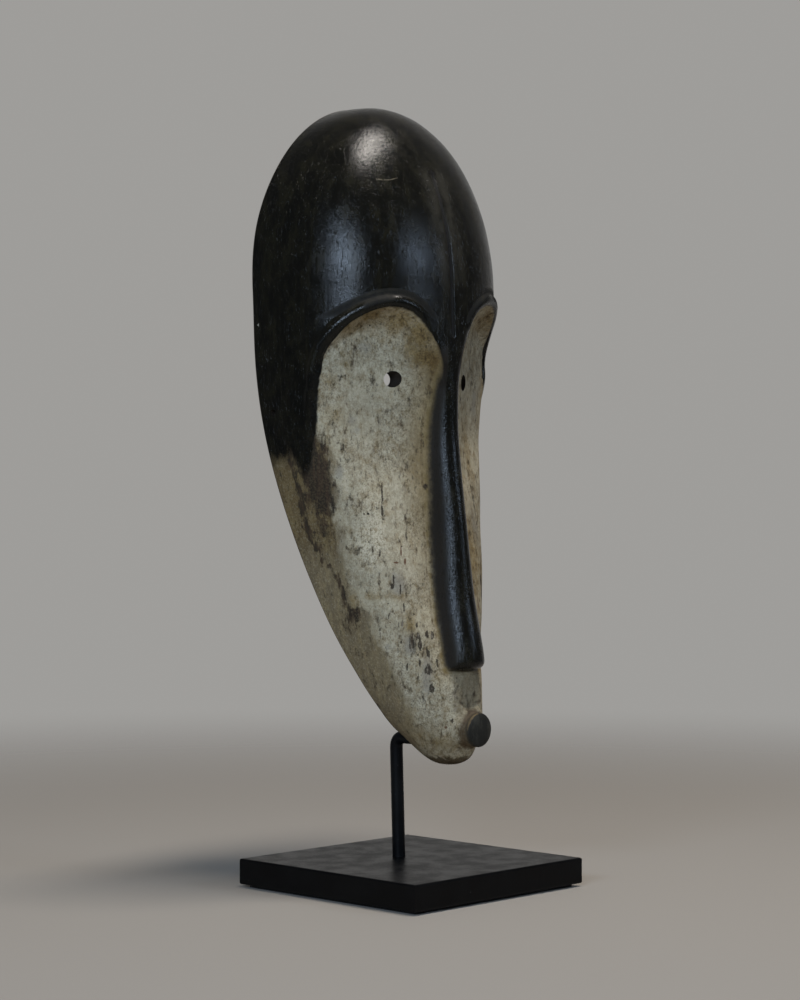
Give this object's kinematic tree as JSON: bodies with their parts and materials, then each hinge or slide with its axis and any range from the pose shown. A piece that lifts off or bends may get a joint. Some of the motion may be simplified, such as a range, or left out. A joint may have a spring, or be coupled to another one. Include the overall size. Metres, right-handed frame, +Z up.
{
  "type": "fang mask on a stand",
  "caption": "Tall hollow carved wooden face mask with a long nose, arched brows and pale cheeks, held upright by a bent black rod on a square black base.",
  "frame": {"origin": "middle of the stand's underside", "axes": "+Z up, the face looks along -Y, the hollow back opens towards +Y"},
  "size_m": [0.16, 0.15, 0.4856],
  "materials": {
    "carved_wood": "dark patinated wood with a soft gloss, and worn beige kaolin on the two cheek fields",
    "rod_steel": "satin black paint on steel rod",
    "base_black": "satin black paint on wood",
    "base_felt": "dark felt"
  },
  "bodies": {
    "root": {"mask": "carved_wood", "stand_rod": "rod_steel", "stand_base": "base_black", "stand_felt": "base_felt"}
  },
  "joints": []
}
